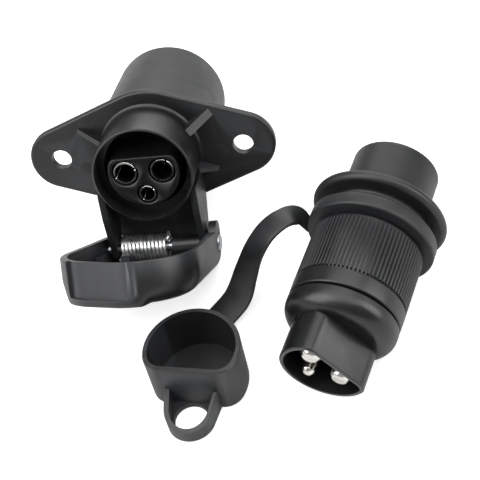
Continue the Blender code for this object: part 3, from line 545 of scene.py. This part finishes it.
def pathPiece(name, points):
    mesh = bpy.data.meshes.new(name)
    mesh.from_pydata(points, [(i, i + 1) for i in range(len(points) - 1)], [])
    piece = bpy.data.objects.new(name, mesh)
    bpy.context.scene.collection.objects.link(piece)
    return piece


def buildLidSpring():
    spring = {"radius": 0.0043, "wire": 0.0010, "turns": 12.5, "left": -0.0128, "right": 0.0030,
              "stepsPerTurn": 28, "startAngle": -115.0, "sides": 12}
    coil = spring["radius"] - spring["wire"] / 2
    steps = round(spring["turns"] * spring["stepsPerTurn"])
    points = []
    for i in range(steps + 1):
        angle = math.radians(spring["startAngle"]) - math.tau * spring["turns"] * i / steps
        x = spring["left"] + (spring["right"] - spring["left"]) * i / steps
        points.append(Vector((x, -coil * math.cos(angle), coil * math.sin(angle))))
    first, last = points[0], points[-1]
    lidWay = Vector((0, -math.sin(openAngle), math.cos(openAngle)))
    webWay = Vector((0, -last.z, last.y)).normalized()
    webWay = webWay if webWay.z > 0 else -webWay
    points = [first + lidWay * reach for reach in (0.0075, 0.0050, 0.0025, 0.0008)] + points
    points += [last + webWay * reach for reach in (0.0008, 0.0016, 0.0030)]
    piece = pathPiece("lidSpring", points)
    runTree(piece, wireTree(), {"Wire Radius": spring["wire"] / 2, "Sides": spring["sides"]})
    return place(piece, placeOf(hinge, across, back), springSteel, "socket", "spring_steel", "lid_spring")


# Lid, drawn shut: forward is out of its outer face, up is away from the hinge

lid = {"wall": 0.0014, "skirt": 0.0040, "clearance": 0.0008, "depthIn": 0.0077, "depthOut": 0.0095,
       "shoulder": 0.0016, "dome": 0.0064, "bulge": (-0.0076, 0.0264, 0.0175), "heel": 0.0048,
       "heelInside": 0.0045, "hollowCorner": 0.0018,
       "earInner": 0.01645, "earOuter": 0.01935, "earRadius": 0.0042, "soften": 0.00025,
       "scoop": {"angles": (66, 138), "fade": 52.0, "depth": 0.0011}}


def lidCircles():
    ear = lid["earOuter"] - lid["heel"]
    return [(0, hingeDrop, socket["barrelRadius"] + lid["clearance"] + lid["wall"]), lid["bulge"],
            (ear, -0.0010, lid["heel"]), (-ear, -0.0010, lid["heel"])]


def lidHollowCircles():
    ear = lid["earInner"] - lid["hollowCorner"]
    low = lid["hollowCorner"] - lid["heelInside"]
    x, z, radius = lid["bulge"]
    return [(0, hingeDrop, socket["barrelRadius"] + lid["clearance"]), (x, z, radius - 0.0022),
            (ear, low, lid["hollowCorner"]), (-ear, low, lid["hollowCorner"])]


def domeShare(angle):
    # the domed edge is slight along the thumb side, and fuller round the heel
    def window(first, last, blend=14.0):
        rise = min(1.0, max(0.0, (angle - first) / blend))
        fall = min(1.0, max(0.0, (last - angle) / blend))
        share = min(rise, fall)
        return share * share * (3 - 2 * share)
    return 1 - 0.80 * window(68, 160) + 0.32 * window(196, 344)


def lidSlab(circles, steps):
    return skin([[point(x, f, z) for x, z in hull(circles, grow)] for grow, f in steps])


def lidSector(inner, outer, first, last, start, end):
    circles = lidCircles()
    return prism(hull(circles, outer, first, last) + hull(circles, inner, first, last)[::-1], start, end)


def buildLid():
    out, deep, rim, shoulder = lid["depthOut"], lid["depthIn"], -lid["skirt"], lid["shoulder"]
    steps = [(-0.0004, rim), (-0.0001, rim + 0.0001), (0, rim + 0.0004), (0, shoulder)]
    for x, f in arc((0, 0), 1.0, 8, 90, 10):   # a domed shoulder
        inset = -lid["dome"] * (1 - x) ** 1.25
        steps.append((lambda angle, inset=inset: inset * domeShare(angle), shoulder + (out - shoulder) * f))
    piece = newPiece("lid", lidSlab(lidCircles(), steps))
    radius, middle = lid["earRadius"], (lid["earInner"] + lid["earOuter"]) / 2
    half = (lid["earOuter"] - lid["earInner"]) / 2 - 0.0002
    ear = arc((-0.0030, 0.0002), radius, 90, 270, 20) + [(0.0026, 0.0002 - radius), (0.0026, 0.0002 + radius)]
    combine(piece, "UNION", sidePrism(ear, middle - half, middle + half))
    hollow = [(0, rim - 0.003), (0, deep - 0.0012), (-0.0012, deep)]
    heelGap = [(-0.0150, -0.012), (0.0010, -0.012), (0.0010, -0.0040), (-0.0150, -0.0040)]
    combine(piece, "DIFFERENCE", lidSlab(lidHollowCircles(), hollow),
            sidePrism(heelGap, 0.0003 - lid["earInner"], lid["earInner"] - 0.0003))
    scoop = lid["scoop"]
    first, last = scoop["angles"]

    def fading(angle):   # full depth at the sharp left end, running out to nothing on the right
        share = min(1.0, (angle - first) / scoop["fade"])
        return 0.0003 - (scoop["depth"] + 0.0003) * share * share * (3 - 2 * share)
    combine(piece, "DIFFERENCE", lidSector(fading, 0.0030, first, last, rim - 0.001, out - 0.0024))
    blocks = [prism([(x - 0.0014, 0.0084), (x + 0.0014, 0.0084), (x + 0.0014, 0.0114), (x - 0.0014, 0.0114)],
                    0.0002, deep + 0.0005) for x in (-0.0178, -0.0095)]
    combine(piece, "UNION", *blocks)
    combine(piece, "DIFFERENCE", sideways(rod(pinHole, -0.030, 0.030, 32)),
            sideways(rod(0.0032, lid["earOuter"] - 0.0010, lid["earOuter"] + 0.003, 48)))
    soften(piece, lid["soften"])
    return place(piece, lidPlace, glassFilledNylon, "lid", "moulded_nylon", "lid")


def buildLidSeal():
    rear = lid["depthIn"] - 0.0003
    front, outer, inner = rear - 0.0009, 0.01535, 0.01135
    profile = [(outer, rear), (outer, front + 0.0003), (outer - 0.0003, front), (inner + 0.0003, front),
               (inner, front + 0.0003), (inner, rear)]
    piece = newPiece("lidSeal", turned(profile, 96, (0, hingeDrop)))
    return place(piece, lidPlace, softPvc, "lid", "soft_pvc", "lid_seal")


# Plug, with forward distances from the middle of its disc

plug = {"collarRadius": 0.0169, "collarBack": 0.0366, "collarLength": 0.0070, "collarEdge": 0.0052,
        "noseLength": 0.0120, "noseOuter": 0.0129, "noseFlat": 0.0069, "noseWall": 0.0012,
        "noseCorner": 0.0043, "sleeveRadius": 0.0170, "sleeveRear": 0.0110, "sleeveLength": 0.0250,
        "tube": 0.0150, "tubeInner": 0.0131, "discRadius": 0.02095, "discThickness": 0.0034,
        "tailRadius": 0.0136, "tailWall": 0.0022, "tailHole": 0.0062, "tailLength": 0.0195}
collarFront = plug["collarBack"] + plug["collarLength"]
noseFront = collarFront + plug["noseLength"]
carrierFront = collarFront - 0.0052


def buildPlugFront():
    p = plug
    radius, collarBack, edge = p["collarRadius"], p["collarBack"], p["collarEdge"]
    stub = p["tubeInner"] - 0.0003
    profile = [(0, collarFront)]
    profile += [(r, f) for f, r in arc((collarFront - edge, radius - edge), edge, 0, 90, 14)]
    profile += [(radius, collarBack + 0.0004), (radius - 0.0004, collarBack), (stub, collarBack),
                (stub, 0.0140), (0, 0.0140)]
    piece = newPiece("plugFront", turned(profile, 128))
    outline = keyedRound(p["noseOuter"], p["noseFlat"], p["noseCorner"])
    lip = 0.0003
    steps = [(1.0, collarFront - 0.004), (1.0, noseFront - lip), (1 - lip / p["noseOuter"], noseFront)]
    combine(piece, "UNION", skin([[point(x * k, f, z * k) for x, z in outline] for k, f in steps]))
    wall = p["noseWall"]
    hollow = keyedRound(p["noseOuter"] - wall, p["noseFlat"] - wall, p["noseCorner"] - wall)
    holes = [prism(hollow, collarFront - 0.0014, noseFront + 0.002),
             rod(0.0108, 0.010, carrierFront + 0.0003, 64)]
    holes += [rod(pin + 0.0003, carrierFront - 0.002, collarFront + 0.0006, 40, center)
              for center, pin, name in poles]
    combine(piece, "DIFFERENCE", *holes)
    soften(piece, 0.00022)
    return place(piece, nosePlace, polishedNylon, "plug", "moulded_nylon", "plug_front_body")


def buildPin(center, radius, name):
    tip, shoulder = noseFront - 0.0011, carrierFront - 0.0103
    chamfer, rear, wire = 0.0008, shoulder - 0.0100, radius * contacts["wireShare"]
    profile = [(0, tip), (radius - chamfer - 0.0001, tip), (radius - chamfer, tip - 0.00005)]
    profile += [(radius - 0.00008, tip - chamfer), (radius, tip - chamfer - 0.0002), (radius, shoulder),
                (radius + 0.0008, shoulder), (radius + 0.0008, rear), (wire, rear),
                (wire, shoulder - 0.0030), (0, shoulder - 0.0030)]
    piece = newPiece("pin_" + name, turned(profile, 64, center), 25.0)
    return place(piece, nosePlace, nickelPlatedBrass, "plug", "nickel_plated_brass", "pin_" + name)


def buildPlugRear():
    p = plug
    rim, tail = p["discThickness"] / 2, p["tailRadius"]
    fillet, end, edge = 0.0012, -p["tailLength"], 0.0016
    front = p["sleeveRear"] + p["sleeveLength"] - 0.0015
    hole, wall, inside = p["tailHole"], p["tailWall"], tail - p["tailWall"]
    profile = [(p["tube"], front)] + arc((p["tube"] + fillet, rim + fillet), fillet, 180, 265, 6)
    profile += [(p["discRadius"] - rim + r, f) for r, f in arc((0, 0), rim, 88, -88, 16)]
    profile += arc((tail + fillet, -rim - fillet), fillet, 92, 180, 6)
    profile += [(tail, end + edge)] + arc((tail - edge, end + edge), edge, 0, -90, 8)
    profile += [(hole + 0.0004, end), (hole, end + 0.0004), (hole, end + wall), (inside, end + wall),
                (inside, -0.0010), (p["tubeInner"], 0.0010), (p["tubeInner"], front)]
    piece = newPiece("plugRear", turned(profile, 128))
    return place(piece, plugPlace, softPvc, "plug", "soft_pvc", "plug_rear_body")


def ribTree():
    # round-backed ribs, tapered at both ends, set round a sleeve whose axis is Z
    tree, given = newTree("gripRibs", [("Count", "Int"), ("Ring Radius", "Float"), ("Rib Radius", "Float"),
                                       ("Start", "Float"), ("End", "Float")])
    low = addNode(tree, "ShaderNodeCombineXYZ", links={"Z": given["Start"]})
    high = addNode(tree, "ShaderNodeCombineXYZ", links={"Z": given["End"]})
    line = addNode(tree, "GeometryNodeCurvePrimitiveLine",
                   links={"Start": low.outputs[0], "End": high.outputs[0]})
    points = addNode(tree, "GeometryNodeResampleCurve", {"Count": 9}, {"Curve": line.outputs[0]})
    along = addNode(tree, "GeometryNodeSplineParameter").outputs["Factor"]
    away = addNode(tree, "ShaderNodeMath", {"operation": "SUBTRACT", 1: 0.5}, {0: along})
    even = addNode(tree, "ShaderNodeMath", {"operation": "ABSOLUTE"}, {0: away.outputs[0]})
    taper = addNode(tree, "ShaderNodeMapRange",
                    {"From Min": 0.40, "From Max": 0.5, "To Min": 1.0, "To Max": 0.25},
                    {"Value": even.outputs[0]})
    shaped = addNode(tree, "GeometryNodeSetCurveRadius", links={"Curve": points.outputs[0],
                                                                "Radius": taper.outputs["Result"]})
    ring = addNode(tree, "GeometryNodeCurvePrimitiveCircle", {"Resolution": 10},
                   {"Radius": given["Rib Radius"]})
    rib = addNode(tree, "GeometryNodeCurveToMesh", {"Fill Caps": True},
                  {"Curve": shaped.outputs[0], "Profile Curve": ring.outputs[0]})
    circle = addNode(tree, "GeometryNodeMeshCircle",
                     links={"Vertices": given["Count"], "Radius": given["Ring Radius"]})
    copies = addNode(tree, "GeometryNodeInstanceOnPoints", links={"Points": circle.outputs[0],
                                                                  "Instance": rib.outputs[0]})
    smooth = addNode(tree, "GeometryNodeSetShadeSmooth", links={"Geometry": copies.outputs[0]})
    both = addNode(tree, "GeometryNodeJoinGeometry", links={0: smooth.outputs[0]})
    tree.links.new(given["Geometry"], both.inputs[0])
    endTree(tree, both.outputs[0], polishedNylon)
    return tree


def buildGripSleeve():
    sleeve = {"ribs": 84, "ribRadius": 0.00042, "ribBand": (0.0016, 0.0190), "inner": 0.0153, "step": 0.00045}
    p = plug
    start, end = p["sleeveRear"], p["sleeveRear"] + p["sleeveLength"]
    base = p["sleeveRadius"] - sleeve["step"]
    bandStart = start + sleeve["ribBand"][1] + 0.0004
    profile = [(sleeve["inner"], end), (p["sleeveRadius"] - 0.0007, end)]
    profile += arc((p["sleeveRadius"] - 0.0007, end - 0.0006), 0.0006, 90, 0, 5)
    profile += [(p["sleeveRadius"], bandStart + 0.0006), (base, bandStart), (base, start + 0.0008),
                (base - 0.0008, start), (sleeve["inner"], start)]
    piece = newPiece("gripSleeve", turned(profile, 128))
    toAxis = Matrix.Rotation(-math.pi / 2, 4, "X")   # forward, which is -Y, becomes Z
    piece.data.transform(toAxis)
    runTree(piece, ribTree(), {"Count": sleeve["ribs"], "Ring Radius": base,
                               "Rib Radius": sleeve["ribRadius"], "Start": start + sleeve["ribBand"][0],
                               "End": start + sleeve["ribBand"][1]})
    piece.data.transform(toAxis.inverted())
    return place(piece, plugPlace, polishedNylon, "grip_sleeve", "moulded_nylon", "knurled_sleeve")


# Dust cap, strap and ring: one soft moulding, made as three pieces that run into each other

cap = {"height": 0.0175, "wall": 0.0014, "gap": 0.0002, "floor": 0.0016, "loopReach": 0.0125,
       "loopEnd": 0.0072, "loopHole": 0.0050, "loop": 0.0018, "loopRim": 0.0014,
       "rimBack": 0.0092, "rimFront": 0.0046,
       "ringRadius": 0.0197, "ringBack": 0.0060, "ringWidth": 0.0044, "strap": 0.0013}


def buildDustCap():
    inner = plug["noseOuter"] + cap["gap"]
    outer, flat = inner + cap["wall"], plug["noseFlat"] + cap["gap"] + cap["wall"]
    corner = plug["noseCorner"] + cap["gap"] + cap["wall"]
    outline = keyedRound(outer, flat, corner)
    edge = 0.0007
    steps = [(1 - (edge - x) / outer, edge + f) for x, f in arc((0, 0), edge, -90, 0, 5)]
    steps += [(1.0, cap["height"] - 0.0003), (1 - 0.0003 / outer, cap["height"])]
    piece = newPiece("dustCap", skin([[point(x * k, f, z * k) for x, z in outline] for k, f in steps]))
    reach = flat + cap["loopReach"]
    middle = reach - cap["loopEnd"]
    foot = [(0, middle, cap["loopEnd"]), (0.0040, flat - 0.003, 0.0045), (-0.0040, flat - 0.003, 0.0045)]
    around = hull(foot)
    heights = [cap["rimBack"] + (cap["rimFront"] - cap["rimBack"]) * max(0.0, (z - flat) / cap["loopReach"])
               for x, z in around]
    rings = [[point(x, 0, z) for x, z in hull(foot, -0.0005)], [point(x, 0.0005, z) for x, z in around],
             [point(x, height, z) for (x, z), height in zip(around, heights)]]
    loop = newPiece("loop", skin(rings))
    combine(loop, "DIFFERENCE", prism(hull(foot, -cap["loopRim"]), cap["loop"], 0.012))
    loopShape = bmesh.new()
    loopShape.from_mesh(loop.data)
    bpy.data.objects.remove(loop)
    combine(piece, "UNION", loopShape)
    hollow = keyedRound(inner, plug["noseFlat"] + cap["gap"], corner - cap["wall"])
    combine(piece, "DIFFERENCE", prism(hollow, cap["floor"], cap["height"] + 0.002),
            rod(cap["loopHole"], -0.002, 0.006, 56, (0, middle)))
    soften(piece, 0.0003)
    return place(piece, capPlace, softPvc, "tether", "soft_pvc", "dust_cap")


def smoothPath(points, steps):
    ends = [points[0] * 2 - points[1], *points, points[-1] * 2 - points[-2]]
    made = []
    for a, b, c, d in zip(ends, ends[1:], ends[2:], ends[3:]):
        for i in range(steps):
            t = i / steps
            made.append(0.5 * (b * 2 + (c - a) * t + (a * 2 - b * 5 + c * 4 - d) * t ** 2
                               + (b * 3 - a - c * 3 + d) * t ** 3))
    return made + [points[-1]]


# the strap's way between cap and ring, in millimetres: centre, crosswise direction, width
strapPoints = (((25.4, -40.6, 4.6), (0.86, -0.51, 0), 9.6),
               ((29.2, -35.4, 11.0), (0.70, -0.71, 0), 9.4),
               ((32.8, -33.2, 18.6), (0.52, -0.85, 0), 9.2),
               ((37.6, -31.6, 25.2), (0.40, -0.92, 0), 8.8),
               ((42.6, -28.6, 26.9), (0.30, -0.95, 0), 7.8))
strapSteps = 12   # rings between two of its points


def strapRoute():
    # (centre, crosswise direction, width) from the cap's foot to the ring on the plug
    start = plug["noseOuter"] + cap["gap"] + cap["wall"] - 0.0006
    away = Vector((-math.sin(capYaw), math.cos(capYaw), 0))
    first = capCenter + away * start + Vector((0, 0, 0.0016))
    cross = Vector((away.y, -away.x, 0))
    side = -plugAcross
    ringMiddle = plugPlace.translation + plugForward * (cap["ringBack"] + cap["ringWidth"] / 2)
    root = ringMiddle + side * (cap["ringRadius"] - 0.0003)
    route = [(first, cross, 0.0096), (first + away * 0.0056 + Vector((0, 0, 0.0004)), cross, 0.0096)]
    flangeFoot = Vector((socketPlace.translation.x, socketPlace.translation.y, 0))
    for spot, way, width in strapPoints:
        route.append((flangeFoot + Vector(spot) / 1000, Vector(way), width / 1000))
    route.append((root + side * 0.0034 + Vector((0, 0, 0.0044)), plugForward, 0.0060))
    route.append((root, plugForward, 0.0042))
    return route


def buildStrap():
    route = strapRoute()
    centers = smoothPath([center for center, way, width in route], strapSteps)
    ways = smoothPath([way for center, way, width in route], strapSteps)
    widths = smoothPath([Vector((width, 0)) for center, way, width in route], strapSteps)
    edge = cap["strap"] / 2
    rings = []
    for i, (center, way, width) in enumerate(zip(centers, ways, widths)):
        along = (centers[min(i + 1, len(centers) - 1)] - centers[max(i - 1, 0)]).normalized()
        way = (way - along * way.dot(along)).normalized()
        normal = along.cross(way)
        half = width.x / 2 - edge
        outline = arc((half, 0), edge, -90, 90, 6) + arc((-half, 0), edge, 90, 270, 6)
        rings.append([center + way * x + normal * y for x, y in outline])
    piece = newPiece("capStrap", skin(rings), 60.0)
    return place(piece, Matrix.Identity(4), softPvc, "tether", "soft_pvc", "cap_strap")


def buildStrapRing():
    start, end, edge = cap["ringBack"], cap["ringBack"] + cap["ringWidth"], 0.0007
    outer, inner = cap["ringRadius"], plug["tube"] + 0.0003
    profile = arc((outer - edge, end - edge), edge, 90, 0, 5)
    profile += arc((outer - edge, start + edge), edge, 0, -90, 5)
    profile += [(inner, start), (inner, end)]
    piece = newPiece("strapRing", turned(profile, 128))
    return place(piece, plugPlace, softPvc, "tether", "soft_pvc", "strap_ring")


print("making the socket")
buildSocketHousing()
buildEjectorMarks()
buildContactCarrier()
for (center, pinRadius, name), turn in zip(poles, (20, 62, 40)):
    buildContact(center, pinRadius, name, turn)
buildRearCover()
buildHingePin()
buildLidSpring()
print("making the lid")
buildLid()
buildLidSeal()
print("making the plug")
buildPlugFront()
for center, pinRadius, name in poles:
    buildPin(center, pinRadius, name)
buildPlugRear()
buildGripSleeve()
print("making the cap and its strap")
buildDustCap()
buildStrap()
buildStrapRing()

# The inner pieces keep their CAD shape and get their finish

finishes = {"carrier_retaining_ring": glassFilledNylon, "pin_carrier": glassFilledNylon,
            "cable_grommet": softPvc, "plug_seal_ring": softPvc}
for nodeName, node in frame["nodes"].items():
    if "screw" in nodeName:
        finishes[nodeName] = zincPlatedSteel
    if nodeName in finishes:
        node.data.materials.clear()
        node.data.materials.append(finishes[nodeName])

# Floor, light and camera

floorMesh = bpy.data.meshes.new("floor")
studio = {"floorReach": 3.0, "floorDrop": 0.0002, "floorGlow": 0.62, "worldStrength": 0.30}
reach, ground = studio["floorReach"], -studio["floorDrop"]
floorMesh.from_pydata([(-reach, -reach, ground), (reach, -reach, ground), (reach, reach, ground),
                       (-reach, reach, ground)], [], [(0, 1, 2, 3)])
floor = bpy.data.objects.new("floor", floorMesh)
bpy.context.scene.collection.objects.link(floor)
# matte white paper, lit a little by itself so that it stays clean behind the parts
paper, paperTree, paperShader = newMaterial("matteWhitePaper", **{"Base Color": hexColor("#d8d8d8"),
                                                                  "Roughness": 0.9})
lightPath = addNode(paperTree, "ShaderNodeLightPath")
glow = addNode(paperTree, "ShaderNodeMath", {"operation": "MULTIPLY", 1: studio["floorGlow"]},
               {0: lightPath.outputs["Is Camera Ray"]})
paperShader.inputs["Emission Color"].default_value = hexColor("#ffffff")
paperTree.links.new(glow.outputs["Value"], paperShader.inputs["Emission Strength"])
floorMesh.materials.append(paper)

aim = Vector((socketPlace.translation.x + 0.0284, socketPlace.translation.y - 0.0299, 0.020))
view = {"azimuth": 12.58, "elevation": 47.13, "roll": 13.44, "distance": 0.3358, "lens": 81.7}


def towards(azimuth, elevation):
    a, e = math.radians(azimuth), math.radians(elevation)
    return Vector((math.sin(a) * math.cos(e), -math.cos(a) * math.cos(e), math.sin(e)))


def addSoftbox(name, azimuth, elevation, distance, size, watts):
    light = bpy.data.lights.new(name, "AREA")
    light.shape = "RECTANGLE"
    light.size, light.size_y = size
    light.energy = watts
    lamp = bpy.data.objects.new(name, light)
    bpy.context.scene.collection.objects.link(lamp)
    away = towards(azimuth, elevation)
    lamp.location = aim + away * distance
    lamp.rotation_euler = away.to_track_quat("Z", "Y").to_euler()


addSoftbox("overhead", 0, 84, 0.75, (0.9, 0.9), 6.0)
addSoftbox("leftWindow", -65, 38, 0.70, (0.5, 0.6), 4.0)
addSoftbox("rightWindow", 75, 30, 0.70, (0.4, 0.6), 3.0)
addSoftbox("rearStrip", 170, 30, 0.80, (0.8, 0.3), 3.0)

world = bpy.data.worlds.new("studio")
world.use_nodes = True
background = world.node_tree.nodes["Background"]
background.inputs["Color"].default_value = hexColor("#ffffff")
background.inputs["Strength"].default_value = studio["worldStrength"]
bpy.context.scene.world = world
bpy.context.scene.view_settings.view_transform = "Standard"

camera = bpy.data.objects.new("camera", bpy.data.cameras.new("camera"))
camera.data.lens = view["lens"]
camera.data.clip_start = 0.01
bpy.context.scene.collection.objects.link(camera)
away = towards(view["azimuth"], view["elevation"])
level = Vector((math.cos(math.radians(view["azimuth"])), math.sin(math.radians(view["azimuth"])), 0))
upright = away.cross(level)
tip = math.radians(view["roll"])
right = level * math.cos(tip) - upright * math.sin(tip)
camera.matrix_world = Matrix((right, away.cross(right), away)).transposed().to_4x4()
camera.location = aim + away * view["distance"]
bpy.context.scene.camera = camera
print("scene ready")
